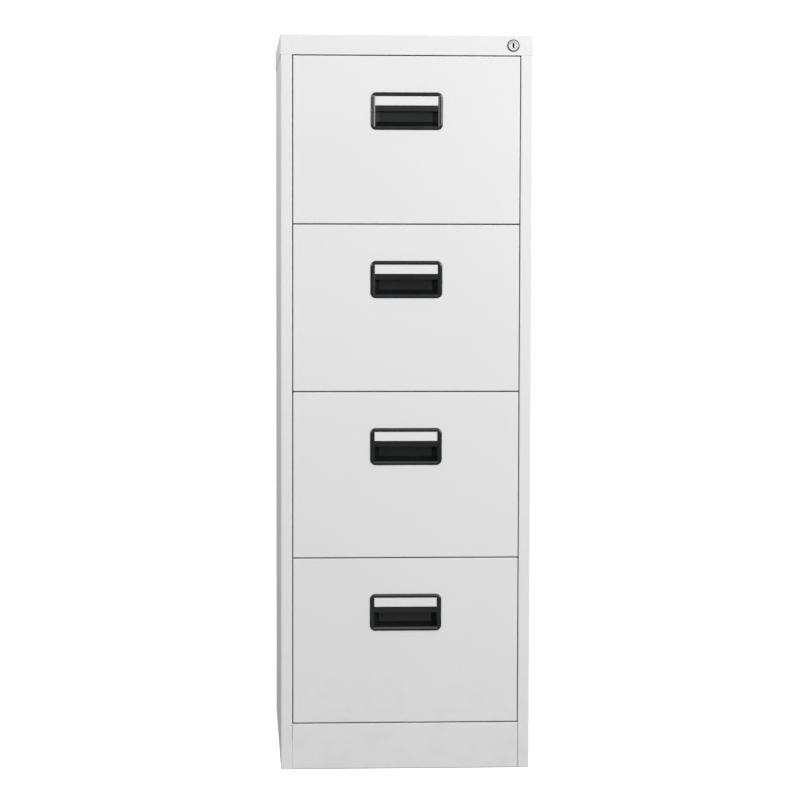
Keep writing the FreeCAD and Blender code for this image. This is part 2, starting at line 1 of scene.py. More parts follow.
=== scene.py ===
import json
import math
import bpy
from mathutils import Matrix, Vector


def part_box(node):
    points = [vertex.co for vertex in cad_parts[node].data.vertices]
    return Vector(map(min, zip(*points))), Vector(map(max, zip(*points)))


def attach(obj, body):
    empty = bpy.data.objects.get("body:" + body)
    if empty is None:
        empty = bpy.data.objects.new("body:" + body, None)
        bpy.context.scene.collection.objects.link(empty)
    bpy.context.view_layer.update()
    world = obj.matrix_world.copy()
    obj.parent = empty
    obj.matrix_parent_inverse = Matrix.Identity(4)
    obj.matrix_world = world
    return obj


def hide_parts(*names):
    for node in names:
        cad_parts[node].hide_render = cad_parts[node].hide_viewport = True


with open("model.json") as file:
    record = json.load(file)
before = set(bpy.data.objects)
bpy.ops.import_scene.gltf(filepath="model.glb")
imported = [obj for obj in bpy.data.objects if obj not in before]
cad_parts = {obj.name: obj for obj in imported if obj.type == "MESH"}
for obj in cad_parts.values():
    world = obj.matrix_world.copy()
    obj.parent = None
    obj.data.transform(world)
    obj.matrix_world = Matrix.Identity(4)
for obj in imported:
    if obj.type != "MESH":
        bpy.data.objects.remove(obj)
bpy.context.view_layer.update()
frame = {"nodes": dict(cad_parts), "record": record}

from types import SimpleNamespace

import bmesh
import bpy
from mathutils import Matrix, Vector

# Looks of a four-drawer steel filing cabinet, in metres. +X right, -Y out of the drawers, +Z up.

MM = 0.001
DRAWERS = 4
SMOOTH_UP_TO = math.radians(40)


# Modelling by hand

def clear_selection():
    for item in bpy.context.selected_objects:
        item.select_set(False)


def start_piece(name):
    """Names the primitive that was just added and goes into edit mode."""
    piece = bpy.context.object
    piece.name = name
    piece.data.name = name
    bpy.ops.object.transform_apply(location=True, rotation=True, scale=True)
    bpy.ops.object.mode_set(mode="EDIT")
    return piece


def block(name, low, high):
    """A cube stretched between two corners, in edit mode."""
    clear_selection()
    middle = (Vector(low) + Vector(high)) / 2
    bpy.ops.mesh.primitive_cube_add(size=1, location=middle)
    bpy.context.object.scale = Vector(high) - Vector(low)
    return start_piece(name)


def end_piece():
    """Leaves edit mode and gives the piece smooth shading with crisp folds."""
    bpy.ops.mesh.select_all(action="SELECT")
    bpy.ops.mesh.remove_doubles(threshold=0.001 * MM)
    bpy.ops.mesh.normals_make_consistent(inside=False)
    bpy.ops.object.mode_set(mode="OBJECT")
    piece = bpy.context.object
    bpy.ops.object.shade_smooth_by_angle(angle=SMOOTH_UP_TO)
    return piece


def edit_mesh():
    mesh = bmesh.from_edit_mesh(bpy.context.object.data)
    mesh.faces.ensure_lookup_table()
    return mesh


def pick(kind, test):
    """Selects the faces, edges or verts that pass a test, and nothing else."""
    bpy.ops.mesh.select_mode(type={"faces": "FACE", "edges": "EDGE", "verts": "VERT"}[kind])
    bpy.ops.mesh.select_all(action="DESELECT")
    mesh = edit_mesh()
    count = 0
    for item in getattr(mesh, kind):
        if test(item):
            item.select_set(True)
            count += 1
    mesh.select_flush_mode()
    bmesh.update_edit_mesh(bpy.context.object.data)
    return count


def near(a, b, slack=0.02 * MM):
    return abs(a - b) < slack


def face_in(axis, level, low, high, facing=None):
    """Test for faces square to an axis at a level whose middle lies between two corners."""
    index = "xyz".index(axis)

    def test(face):
        middle = face.calc_center_median()
        inside = all(low[i] < middle[i] < high[i] for i in range(3) if i != index)
        flat = abs(face.normal[index]) > 0.99 and near(middle[index], level)
        return inside and flat and (facing is None or face.normal[index] * facing > 0)
    return test


def slice_at(axis, *levels):
    """Cuts the whole piece by planes square to an axis."""
    normal = [1.0 if name == axis else 0.0 for name in "xyz"]
    for level in levels:
        bpy.ops.mesh.select_all(action="SELECT")
        bpy.ops.mesh.bisect(plane_co=[level * n for n in normal], plane_no=normal)


def pull(x=0.0, y=0.0, z=0.0):
    """Extrudes the selection by a vector."""
    bpy.ops.mesh.extrude_region_move(TRANSFORM_OT_translate={"value": (x, y, z)})


def shift(test, x=0.0, y=0.0, z=0.0):
    """Moves the verts that pass a test."""
    pick("verts", test)
    bpy.ops.transform.translate(value=(x, y, z))


def round_edges(test, width, segments):
    if pick("edges", test):
        bpy.ops.mesh.bevel(offset=width, offset_type="OFFSET", segments=segments, profile=0.5,
                           affect="EDGES", clamp_overlap=True)


def flat_normals(piece):
    """Keeps large faces flat in shading and lets only the rounded edges turn."""
    weighted = piece.modifiers.new("flat faces", "WEIGHTED_NORMAL")
    weighted.keep_sharp = True
    apply_modifiers(piece)


def apply_modifiers(piece):
    clear_selection()
    piece.select_set(True)
    bpy.context.view_layer.objects.active = piece
    for modifier in list(piece.modifiers):
        bpy.ops.object.modifier_apply(modifier=modifier.name)


def copy_piece(piece, name, offset):
    """A copy with its own mesh, moved by an offset that goes into the mesh."""
    twin = piece.copy()
    twin.data = piece.data.copy()
    twin.name = name
    twin.data.name = name
    bpy.context.collection.objects.link(twin)
    clear_selection()
    twin.select_set(True)
    bpy.context.view_layer.objects.active = twin
    twin.location = offset
    bpy.ops.object.transform_apply(location=True, rotation=False, scale=False)
    return twin


def lathe(name, profile, centre, steps):
    """A closed outline of (radius, depth) turned round the Y axis through a centre."""
    clear_selection()
    bpy.ops.mesh.primitive_plane_add(size=0.01 * MM, location=centre)
    start_piece(name)
    pick("verts", lambda v: True)
    bpy.ops.mesh.merge(type="CENTER")
    here = (0.0, 0.0)
    for radius, depth in profile:
        move = (radius - here[0], depth - here[1])
        if here == (0.0, 0.0):
            bpy.ops.transform.translate(value=(move[0], move[1], 0))
        else:
            pull(move[0], move[1], 0)
        here = (radius, depth)
    first, last = profile[0], profile[-1]
    corners = [Vector(centre) + Vector((r, d, 0)) for r, d in (first, last)]
    pick("verts", lambda v: any((v.co - corner).length < 0.01 * MM for corner in corners))
    bpy.ops.mesh.edge_face_add()
    bpy.ops.mesh.select_all(action="SELECT")
    bpy.ops.mesh.spin(steps=steps, angle=math.tau, center=centre, axis=(0, 1, 0))
    return end_piece()


# Finishes

class Shade:
    """A node's output, on which ordinary sums add Math nodes."""

    def __init__(self, nodes, socket):
        self.nodes = nodes
        self.socket = socket

    def math(self, operation, *values):
        return self.nodes.node("ShaderNodeMath", dict(enumerate(values)), operation=operation)

    def __add__(self, other):
        return self.math("ADD", self, other)

    def __sub__(self, other):
        return self.math("SUBTRACT", self, other)

    def __rsub__(self, other):
        return self.math("SUBTRACT", other, self)

    def __mul__(self, other):
        return self.math("MULTIPLY", self, other)

    def __pow__(self, other):
        return self.math("POWER", self, other)

    __radd__ = __add__
    __rmul__ = __mul__

    def between(self, low, high):
        """0 below low, 1 above high, smooth in between."""
        sockets = {"Value": self, "From Min": low, "From Max": high}
        return self.nodes.node("ShaderNodeMapRange", sockets, interpolation_type="SMOOTHSTEP")


class Nodes:
    """A node tree, built through one method."""

    def __init__(self, tree):
        self.tree = tree

    def node(self, kind, sockets=None, output=0, stops=None, **settings):
        """Adds a node: its settings first, then the values or links of its sockets."""
        added = self.tree.nodes.new(kind)
        for name, value in settings.items():
            setattr(added, name, value)
        if stops:
            ramp = added.color_ramp.elements
            while len(ramp) < len(stops):
                ramp.new(0.5)
            for element, (position, colour) in zip(ramp, stops):
                element.position = position
                element.color = (*colour, 1)
        for name, value in (sockets or {}).items():
            self.feed(added.inputs[name], value)
        return Shade(self, added.outputs[output])

    def feed(self, target, value):
        if isinstance(value, Shade):
            self.tree.links.new(value.socket, target)
        else:
            target.default_value = value


class Finish(Nodes):
    """A material on a Principled shader, built node by node."""

    def __init__(self, name, **constants):
        self.material = bpy.data.materials.new(name)
        self.material.use_nodes = True
        super().__init__(self.material.node_tree)
        self.shader = self.tree.nodes["Principled BSDF"]
        for socket, value in constants.items():
            self.shader.inputs[socket.replace("_", " ")].default_value = value
        self.place = self.node("ShaderNodeTexCoord", output="Object")

    def set(self, **sockets):
        for name, value in sockets.items():
            self.feed(self.shader.inputs[name.replace("_", " ")], value)

    def noise(self, scale, detail=2.0, roughness=0.5, stretch=None):
        place = self.place
        if stretch:
            place = self.node("ShaderNodeMapping", {"Vector": place, "Scale": stretch})
        sockets = {"Vector": place, "Scale": scale, "Detail": detail, "Roughness": roughness}
        return self.node("ShaderNodeTexNoise", sockets)

    def cells(self, scale, feature="F1"):
        sockets = {"Vector": self.place, "Scale": scale}
        return self.node("ShaderNodeTexVoronoi", sockets, feature=feature)

    def mix(self, factor, first, second):
        """Blends two colours."""
        sockets = {0: factor, 6: first, 7: second}
        return self.node("ShaderNodeMix", sockets, output=2, data_type="RGBA")

    def bump(self, height, distance, strength=1.0, under=None):
        sockets = {"Height": height, "Distance": distance, "Strength": strength}
        if under is not None:
            sockets["Normal"] = under
        return self.node("ShaderNodeBump", sockets)

    def height_above_floor(self):
        return self.node("ShaderNodeSeparateXYZ", {"Vector": self.place}, output="Z")

    def depth(self):
        return self.node("ShaderNodeSeparateXYZ", {"Vector": self.place}, output="Y")

    def radius_from(self, centre):
        """Distance from a line along Y through a centre."""
        flat = {"Vector": self.place, "Location": (-centre[0], 0, -centre[2]), "Scale": (1, 0, 1)}
        across = self.node("ShaderNodeMapping", flat)
        return self.node("ShaderNodeVectorMath", {0: across}, output="Value", operation="LENGTH")


def grey(value, warmth=0.0):
    return (value * (1 + warmth), value, value * (1 - warmth), 1)


def powder_coat(name, tone):
    """Light grey powder coat: fine grain over a faint orange peel, hardly dusty near the floor."""
    coat = Finish(name, Metallic=0.0, IOR=1.45, Specular_IOR_Level=0.4)
    cloud = coat.noise(2.3, 3.0)
    peel = coat.noise(330.0, 2.0)
    grain = coat.noise(2100.0, 1.0)
    low_down = 1 - coat.height_above_floor().between(0.0, 0.3)
    dust = low_down * coat.noise(26.0, 6.0, 0.65).between(0.42, 0.72)
    clean = coat.mix(cloud.between(0.3, 0.7), grey(tone * 0.985, 0.002), grey(tone * 1.01, -0.001))
    fleck = coat.mix(grain.between(0.62, 0.8) * 0.35, clean, grey(tone * 0.93))
    coat.set(Base_Color=coat.mix(dust * 0.16, fleck, grey(tone * 0.72, 0.03)))
    smudge = coat.noise(11.0, 5.0, 0.6)
    coat.set(Roughness=0.52 + smudge * 0.1 + grain * 0.05 + dust * 0.15)
    coat.set(Normal=coat.bump(grain, 0.03 * MM, 0.5, coat.bump(peel, 0.05 * MM, 0.6)))
    return coat.material


def inner_coat(name, tone):
    """Thinner satin coat of the inner sheets, with the sheet's rolling marks showing through."""
    coat = Finish(name, Metallic=0.0, IOR=1.48)
    rolling = coat.noise(40.0, 3.0, 0.6, stretch=(1.0, 0.06, 1.0))
    cloud = coat.noise(5.0, 4.0)
    grain = coat.noise(1500.0, 1.0)
    base = coat.mix(cloud.between(0.3, 0.7), grey(tone * 0.95, 0.004), grey(tone * 1.03))
    scuff = coat.noise(60.0, 5.0, 0.7, stretch=(1.0, 0.15, 1.0)).between(0.66, 0.74)
    coat.set(Base_Color=coat.mix(scuff * 0.14, base, grey(tone * 0.6)))
    coat.set(Roughness=0.36 + rolling * 0.14 + scuff * 0.15)
    coat.set(Normal=coat.bump(rolling, 0.06 * MM, 0.5, coat.bump(grain, 0.02 * MM, 0.4)))
    return coat.material


def zinc_plate(name, tone):
    """Bright zinc over rolled steel, with a faint yellow and blue passivation."""
    zinc = Finish(name, Metallic=1.0)
    drawn = zinc.noise(260.0, 3.0, 0.6, stretch=(1.0, 0.03, 1.0))
    patch = zinc.noise(34.0, 4.0, 0.6)
    warm = (tone * 1.04, tone, tone * 0.9, 1)
    cool = (tone * 0.93, tone * 0.98, tone * 1.04, 1)
    spangle = zinc.cells(900.0)
    tint = zinc.mix(patch.between(0.35, 0.65), warm, cool)
    grease = zinc.noise(18.0, 5.0, 0.7).between(0.6, 0.75)
    zinc.set(Base_Color=zinc.mix(grease * 0.3, tint, grey(tone * 0.45, 0.06)))
    zinc.set(Roughness=0.26 + drawn * 0.16 + spangle * 0.08 + grease * 0.12)
    zinc.set(Normal=zinc.bump(drawn, 0.03 * MM, 0.5))
    return zinc.material


def black_moulding(name):
    """Semi-gloss black plastic with a fine spark texture and faint finger marks."""
    plastic = Finish(name, Metallic=0.0, IOR=1.5, Specular_IOR_Level=0.42)
    spark = plastic.noise(1900.0, 2.0)
    flow = plastic.noise(21.0, 4.0, 0.55)
    marks = plastic.noise(75.0, 5.0, 0.65).between(0.56, 0.74)
    base = plastic.mix(flow.between(0.3, 0.7), grey(0.0070, -0.08), grey(0.0105, -0.08))
    plastic.set(Base_Color=plastic.mix(marks * 0.15, base, grey(0.020, -0.02)))
    plastic.set(Roughness=0.17 + flow * 0.08 + marks * 0.08)
    plastic.set(Normal=plastic.bump(spark, 0.02 * MM, 0.35))
    return plastic.material


def card_stock(name, tone):
    """Blank card with a soft fibre texture."""
    card = Finish(name, Metallic=0.0, IOR=1.4)
    fibre = card.noise(700.0, 5.0, 0.7, stretch=(0.35, 1.0, 1.0))
    cloud = card.noise(90.0, 3.0)
    darker = grey(tone * 0.97, 0.006)
    card.set(Base_Color=card.mix(fibre.between(0.35, 0.7), darker, grey(tone * 1.02, 0.002)))
    card.set(Roughness=0.72 + cloud * 0.16)
    card.set(Normal=card.bump(fibre, 0.03 * MM, 0.6))
    return card.material


def turned_metal(name, tone, base_roughness, dark, painted_shade):
    """Plated die casting: fine turning marks, a few scratches, and painted shade where the mask says
    so.
    """
    metal = Finish(name, Metallic=1.0)
    centre = (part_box("lock_plug")[0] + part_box("lock_plug")[1]) / 2
    radius = metal.radius_from(centre)
    turning = radius * (math.tau / LOCK_RING_PITCH)
    rings = metal.node("ShaderNodeMath", {0: turning}, operation="SINE")
    haze = metal.noise(160.0, 4.0, 0.6)
    scratch = metal.noise(900.0, 2.0, 0.5, stretch=(1.0, 1.0, 0.06)).between(0.7, 0.78)
    bright = metal.mix(haze.between(0.3, 0.7), grey(tone * 0.9, 0.01), grey(tone, -0.005))
    # The mask paints shade: a darker colour where shade or a dark reflection falls.
    metal.set(Base_Color=metal.mix(painted_shade(metal, radius), bright, grey(dark, 0.01)))
    metal.set(Roughness=base_roughness + haze * 0.1 + scratch * 0.25)
    metal.set(Normal=metal.bump(rings, 0.01 * MM, 0.4))
    return metal.material


def rim_painted_shade(metal, radius):
    """Painted shade on the lock ring's outer bevel: coloured darker than its polished face, in place
    of the dark reflection it shows.
    """
    rim = (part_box("lock_housing")[1].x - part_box("lock_housing")[0].x) / 2
    return radius.between(rim - LOCK_RIM - RIM_SHADE_BLEND, rim - LOCK_RIM + RIM_SHADE_BLEND)


def keyway_shade(metal, radius):
    """Painted shade: near black inside the keyway, and a grey ring of painted shade at the seam round
    the plug.
    """
    low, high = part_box("lock_plug")
    rim = (high.z - low.z) / 2
    # Painted shade inside the keyway, from just behind the plug's face
    keyway = metal.depth().between(low.y + KEYWAY_SHADE_FROM, low.y + KEYWAY_SHADE_FULL)
    # Painted shade in the seam round the plug, at part strength
    return keyway + radius.between(rim - SEAM_SHADE_FROM, rim - SEAM_SHADE_FULL) * SEAM_SHADE_SHARE


def nylon(name):
    """Natural nylon, slightly waxy."""
    plastic = Finish(name, Metallic=0.0, IOR=1.53, Subsurface_Weight=0.15,
                     Subsurface_Scale=1.5 * MM)
    cloud = plastic.noise(120.0, 3.0)
    plastic.set(Base_Color=plastic.mix(cloud, (0.70, 0.68, 0.62, 1), (0.80, 0.78, 0.73, 1)))
    plastic.set(Roughness=0.42 + cloud * 0.14)
    plastic.set(Normal=plastic.bump(plastic.noise(900.0), 0.02 * MM, 0.4))
    return plastic.material


PAINT_TONE = 0.69
LOCK_RING_PITCH = 0.35 * MM
LOCK_RIM = 2.3 * MM
# Width of the blend into the painted shade on the lock ring's outer bevel
RIM_SHADE_BLEND = 0.2 * MM
# Where the painted shade starts and is full, in the keyway and in the seam round the plug, and how
# strong the seam's shade is
KEYWAY_SHADE_FROM = 0.1 * MM
KEYWAY_SHADE_FULL = 0.35 * MM
SEAM_SHADE_FROM = 1.6 * MM
SEAM_SHADE_FULL = 0.4 * MM
SEAM_SHADE_SHARE = 0.35
finishes = {
    "carcass_paint": powder_coat("carcass powder coat", PAINT_TONE),
    "drawer_paint": powder_coat("drawer powder coat", PAINT_TONE),
    "inner_paint": inner_coat("inner coat", 0.70),
    "handle_plastic": black_moulding("black moulding"),
    "label_card": card_stock("card stock", 0.70),
    "zinc_steel": zinc_plate("zinc plate", 0.66),
    # The ring's outer bevel gets painted shade, and the plug gets painted shade in its keyway and at
    # its seam.
    "lock_chrome": turned_metal("lock chrome", 0.80, 0.30, 0.07, rim_painted_shade),
    "lock_plug_metal": turned_metal("lock nickel", 0.68, 0.28, 0.004, keyway_shade),
    "guide_nylon": nylon("guide nylon"),
}


def give_finish(piece, slot_name):
    piece.data.materials.clear()
    piece.data.materials.append(finishes[slot_name])


for part in frame["record"]["subparts"]:
    give_finish(frame["nodes"][part["node"]], part["material_slot"])


# Handles: a raised rounded ring round a label window, a grip and a finger recess

BEZEL = 7.0 * MM
BEZEL_SIDE = 8.2 * MM
RING_FALL = 1.6 * MM
RING_OUTER = 3.2 * MM
RING_INNER = 3.0 * MM
WINDOW_HEIGHT = 16.4 * MM
GRIP_HEIGHT = 10.3 * MM
GRIP_THICKNESS = 4.5 * MM
CUP_WALL = 1.8 * MM
HANDLE_CORNER = 10.0 * MM
RECESS_SLOPE = 8.4 * MM
RECESS_TAPER = 9.0 * MM
RECESS_ROUND = 1.0 * MM
OUTER_ROUND = 0.6 * MM
CREST_ROUND = 0.35 * MM
INNER_ROUND = 0.3 * MM
RECESS_TOP = 14.0 * MM
FRAME_LIP = 0.6 * MM
CARD_ROOM = 1.1 * MM
UNDERCUT = 0.05 * MM


def handle_sizes():
    """Levels of the top drawer's handle, from its own box and its drawer's front."""
    low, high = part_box("drawer_1_handle")
    sizes = {"mouth": low.y, "cup_back": high.y, "bottom": low.z, "top": high.z, "wide": high.x}
    sizes["face"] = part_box("drawer_1_front")[0].y
    sizes["card_back"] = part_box("drawer_1_label_card")[1].y
    sizes["opening"] = high.x - BEZEL_SIDE
    sizes["window_top"] = high.z - BEZEL
    sizes["window_bottom"] = high.z - BEZEL - WINDOW_HEIGHT
    sizes["recess_top"] = high.z - BEZEL - WINDOW_HEIGHT - GRIP_HEIGHT
    sizes["recess_bottom"] = low.z + BEZEL
    sizes["level"] = low.y + RING_FALL
    sizes["deep"] = high.y - CUP_WALL
    return SimpleNamespace(**sizes)


def handle_plate(name, at):
    """Plate with rounded corners, a ring sloping both ways from its crest, and the cup behind."""
    block(name, (-at.wide, at.level, at.bottom), (at.wide, at.face, at.top))
    round_edges(lambda e: abs((e.verts[0].co - e.verts[1].co).y) > 0.5 * MM, HANDLE_CORNER, 10)
    pick("faces", face_in("y", at.level, (-at.wide, 0, at.bottom), (at.wide, 0, at.top), -1))
    bpy.ops.mesh.inset(thickness=RING_OUTER, depth=RING_FALL)
    crest = at.opening + RING_INNER
    crest_low, crest_high = at.recess_bottom - RING_INNER, at.window_top + RING_INNER
    slice_at("x", -crest, crest)
    slice_at("z", crest_low, crest_high)
    pick("faces", face_in("y", at.mouth, (-crest, 0, crest_low), (crest, 0, crest_high), -1))
    bpy.ops.mesh.inset(thickness=RING_INNER, depth=-RING_FALL)
    cup = at.opening + CUP_WALL
    cup_low, cup_high = at.recess_bottom - CUP_WALL, at.window_top + CUP_WALL
    slice_at("x", -cup, cup)
    slice_at("z", cup_low, at.recess_top, at.window_bottom, cup_high)
    pick("faces", face_in("y", at.face, (-cup, 0, cup_low), (cup, 0, cup_high), 1))
    pull(y=at.cup_back - at.face)


def handle_recess(at):
    """Finger recess: narrowing to its back in two steps, then up behind the grip."""
    low = (-at.opening, 0, at.recess_bottom)
    high = (at.opening, 0, at.recess_top)
    pick("faces", face_in("y", at.level, low, high, -1))
    behind_grip = at.mouth + GRIP_THICKNESS
    half = at.opening
    for start, end in ((at.level, behind_grip), (behind_grip, at.deep)):
        share = (end - start) / (at.deep - at.level)
        narrow = half - RECESS_TAPER * share
        pull(y=end - start)
        bpy.ops.transform.resize(value=(narrow / half, 1, 1), center_override=(0, end, 0))
        half = narrow
        middle = (at.recess_bottom + at.recess_top) / 2
        shift(lambda v: near(v.co.y, end) and abs(v.co.x) < half + MM and v.co.z < middle,
              z=RECESS_SLOPE * share)
        pick("faces", lambda f: near(f.calc_center_median().y, end)
             and near(f.calc_center_median().x, 0)
             and f.normal.y < -0.9 and f.calc_center_median().z < at.recess_top)
    pick("faces", lambda f: near(f.calc_center_median().z, at.recess_top) and f.normal.z < -0.9
         and behind_grip < f.calc_center_median().y < at.deep)
    pull(z=at.top - RECESS_TOP - at.recess_top)


def handle_window(at):
    """Label window, with the card's pocket undercut behind its frame."""
    low = (-at.opening, 0, at.window_bottom)
    high = (at.opening, 0, at.window_top)
    pick("faces", face_in("y", at.level, low, high, -1))
    pull(y=FRAME_LIP)
    pull(y=UNDERCUT)
    centre = (0.0, at.level + FRAME_LIP, (at.window_top + at.window_bottom) / 2)
    grow = (1 + CARD_ROOM / at.opening, 1.0, 1 + 2 * CARD_ROOM / WINDOW_HEIGHT)
    bpy.ops.transform.resize(value=grow, center_override=centre)
    pull(y=at.card_back - at.level - FRAME_LIP - UNDERCUT)


def round_handle(at):
    """Rounds the ring's crest, its outer edge, and the edges inside it."""
    def along(e, level):
        return all(near(v.co.y, level) for v in e.verts)

    def bend(e):
        return e.calc_face_angle(0.0)

    def outer(e):
        v = e.verts[0].co
        inside = abs(v.x) < at.opening + MM and at.recess_bottom - MM < v.z < at.window_top + MM
        return along(e, at.level) and bend(e) > 0.3 and not inside

    def crest(e):
        return along(e, at.mouth) and bend(e) > 0.2

    def inner(e):
        return along(e, at.level) and bend(e) > 0.1

    def back(e):
        return along(e, at.deep) and bend(e) > 0.3 and abs(e.verts[0].co.z - e.verts[1].co.z) < MM

    round_edges(back, RECESS_ROUND, 3)
    round_edges(outer, OUTER_ROUND, 3)
    round_edges(crest, CREST_ROUND, 3)
    round_edges(inner, INNER_ROUND, 3)


def model_handle(name):
    at = handle_sizes()
    handle_plate(name, at)
    handle_recess(at)
    handle_window(at)
    round_handle(at)
    piece = end_piece()
    flat_normals(piece)
    return piece


first_handle = model_handle("handle_1")
first_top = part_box("drawer_1_handle")[1].z
for number in range(1, DRAWERS + 1):
    node = f"drawer_{number}_handle"
    if number == 1:
        handle = first_handle
    else:
        handle = copy_piece(first_handle, f"handle_{number}", (0, 0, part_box(node)[1].z - first_top))
    give_finish(handle, "handle_plastic")
    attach(handle, f"drawer_{number}")
    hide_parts(node)


# Lock: turned housing, and a plug with its keyway

TURN_STEPS = 64
PLUG_FIT = 0.08 * MM
BARREL_STEP = 1.75 * MM
KEYWAY_HALF_WIDTH = 1.0 * MM
KEYWAY_REACH = 4.0 * MM
KEYWAY_DEPTH = 12.0 * MM
KEYWAY_CHAMFER = 0.7 * MM
PLUG_RIM = 0.4 * MM


def model_lock_housing():
    low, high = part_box("lock_housing")
    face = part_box("top_cap")[0].y
    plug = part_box("lock_plug")
    bore = (plug[1].z - plug[0].z) / 2 + PLUG_FIT
    rim = (high.x - low.x) / 2
    centre = ((low.x + high.x) / 2, face, (low.z + high.z) / 2)
    proud = low.y - face
    barrel = rim - BARREL_STEP
    shoulder = rim - LOCK_RIM
    profile = [
        (bore, high.y - face),
        (barrel, high.y - face),
        (barrel, 0.0),
        (rim, 0.0),
        (rim, proud * 0.3),
        (rim - 0.2 * MM, proud * 0.5),
        (shoulder + 0.3 * MM, proud * 0.9),
        (shoulder, proud * 0.98),
        (shoulder - 0.3 * MM, proud),
        (bore + 0.5 * MM, proud),
        (bore + 0.15 * MM, proud * 0.9),
        (bore, proud * 0.7),
    ]
    return lathe("lock_ring", profile, centre, TURN_STEPS)


def model_lock_plug():
    low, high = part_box("lock_plug")
    radius = (high.z - low.z) / 2
    centre = Vector(((low.x + high.x) / 2, (low.y + high.y) / 2, (low.z + high.z) / 2))
    clear_selection()
    bpy.ops.mesh.primitive_cylinder_add(vertices=TURN_STEPS, radius=radius, depth=high.y - low.y,
                                        location=centre, rotation=(math.pi / 2, 0, 0))
    start_piece("lock_key_plug")
    slice_at("x", centre.x - KEYWAY_HALF_WIDTH, centre.x + KEYWAY_HALF_WIDTH)
    slice_at("z", centre.z - KEYWAY_REACH, centre.z + KEYWAY_REACH)
    at_front = face_in("y", low.y, (centre.x - KEYWAY_HALF_WIDTH, 0, centre.z - KEYWAY_REACH),
                       (centre.x + KEYWAY_HALF_WIDTH, 0, centre.z + KEYWAY_REACH), -1)
    pick("faces", at_front)
    pull(y=KEYWAY_DEPTH)

    def front_edge(e):
        at_front = all(near(v.co.y, low.y) for v in e.verts)
        return at_front and any(abs(f.normal.y) < 0.5 for f in e.link_faces)

    def keyway_edge(e):
        middle = (e.verts[0].co + e.verts[1].co) / 2
        from_axis = (middle - Vector((centre.x, low.y, centre.z))).length
        return front_edge(e) and from_axis < KEYWAY_REACH + 0.5 * MM

    round_edges(keyway_edge, KEYWAY_CHAMFER, 1)
    round_edges(lambda e: front_edge(e) and not keyway_edge(e), PLUG_RIM, 3)
    piece = end_piece()
    flat_normals(piece)
    return piece


lock_ring = model_lock_housing()
give_finish(lock_ring, "lock_chrome")
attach(lock_ring, "carcass")
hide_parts("lock_housing")
key_plug = model_lock_plug()
give_finish(key_plug, "lock_plug_metal")
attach(key_plug, "lock_plug")
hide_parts("lock_plug")


# Ball cages of the slides: a folded strip in each track, with two rows of balls

SLIDE_FACE = 206.0 * MM
CAGE_SHEET = 0.5 * MM
POCKET_MARGIN = 2.5 * MM
POCKET_DEPTH = 0.3 * CAGE_SHEET
BALL_RADIUS = 1.6 * MM
BALL_SEGMENTS = 8
BALL_RINGS = 6
BALL_PITCH = 12.0 * MM
BALLS_A_ROW = 13
BALL_CLEAR = 0.1 * MM

# Each cage: depth of its web from the post's face, half its height, depth of its balls,
# and where it starts along Y
CAGES = (
    (3.1 * MM, 19.5 * MM, 6.3 * MM, 110.0 * MM),
    (5.7 * MM, 14.6 * MM, 8.1 * MM, -286.0 * MM),
)


def model_cage(name, web, half, ball_depth, start, centre_z):
    """One strip on the right-hand side: web, two folded edges, a pocket for each pair of balls."""
    outside = SLIDE_FACE - web
    length = BALL_PITCH * BALLS_A_ROW
    block(name, (outside - CAGE_SHEET, start, centre_z - half),
          (outside, start + length, centre_z + half))
    slice_at("z", centre_z - half + CAGE_SHEET, centre_z + half - CAGE_SHEET)
    pick("faces", lambda f: f.normal.x < -0.9
         and abs(f.calc_center_median().z - centre_z) > half - CAGE_SHEET)
    pull(x=-(ball_depth + BALL_RADIUS - web - CAGE_SHEET))
    slice_at("y", *[start + BALL_PITCH * step for step in range(1, BALLS_A_ROW)])
    pick("faces", lambda f: f.normal.x > 0.9
         and abs(f.calc_center_median().z - centre_z) < half - CAGE_SHEET)
    bpy.ops.mesh.inset(thickness=POCKET_MARGIN, use_individual=True)
    pull(x=-POCKET_DEPTH)
    return end_piece()


def model_balls(name, half, ball_depth, start, centre_z):
    """Both rows of one cage on the right-hand side."""
    first = (SLIDE_FACE - ball_depth, start + BALL_PITCH / 2, centre_z - half)
    clear_selection()
    bpy.ops.mesh.primitive_uv_sphere_add(segments=BALL_SEGMENTS, ring_count=BALL_RINGS,
                                         radius=BALL_RADIUS, location=first)
    row = start_piece(name)
    bpy.ops.object.mode_set(mode="OBJECT")
    for axis, count, step in ((1, BALLS_A_ROW, BALL_PITCH), (2, 2, 2 * half)):
        repeat = row.modifiers.new("row", "ARRAY")
        repeat.count = count
        repeat.use_relative_offset = False
        repeat.use_constant_offset = True
        repeat.constant_offset_displace = [step if i == axis else 0.0 for i in range(3)]
    apply_modifiers(row)
    return row


def both_sides(right):
    """Adds the left-hand one to a right-hand piece, in the same mesh."""
    mirror = right.modifiers.new("left-hand side", "MIRROR")
    mirror.use_axis = (True, False, False)
    mirror.use_mirror_merge = False
    apply_modifiers(right)
    return right


def join(name, pieces):
    clear_selection()
    for piece in pieces:
        piece.select_set(True)
    bpy.context.view_layer.objects.active = pieces[0]
    bpy.ops.object.join()
    pieces[0].name = name
    pieces[0].data.name = name
    return pieces[0]


for number in range(1, DRAWERS + 1):
    low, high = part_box(f"middle_slides_{number}")
    centre_z = (low.z + high.z) / 2
    cages = []
    balls = []
    for web, half, ball_depth, start in CAGES:
        cages.append(both_sides(model_cage("cage", web, half, ball_depth, start, centre_z)))
        rows = model_balls("balls", half - BALL_CLEAR, ball_depth, start, centre_z)
        balls.append(both_sides(rows))
    for piece in (join(f"ball_cages_{number}", cages), join(f"slide_balls_{number}", balls)):
        give_finish(piece, "zinc_steel")
        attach(piece, f"middle_slides_{number}")


# Floor, light and camera

FLOOR_SIZE = 400
FLOOR_SEEN = 0.97
FLOOR_BOUNCE = 0.33
FLOOR_GLOW = 0.08
FLOOR_LIFT = 0.5


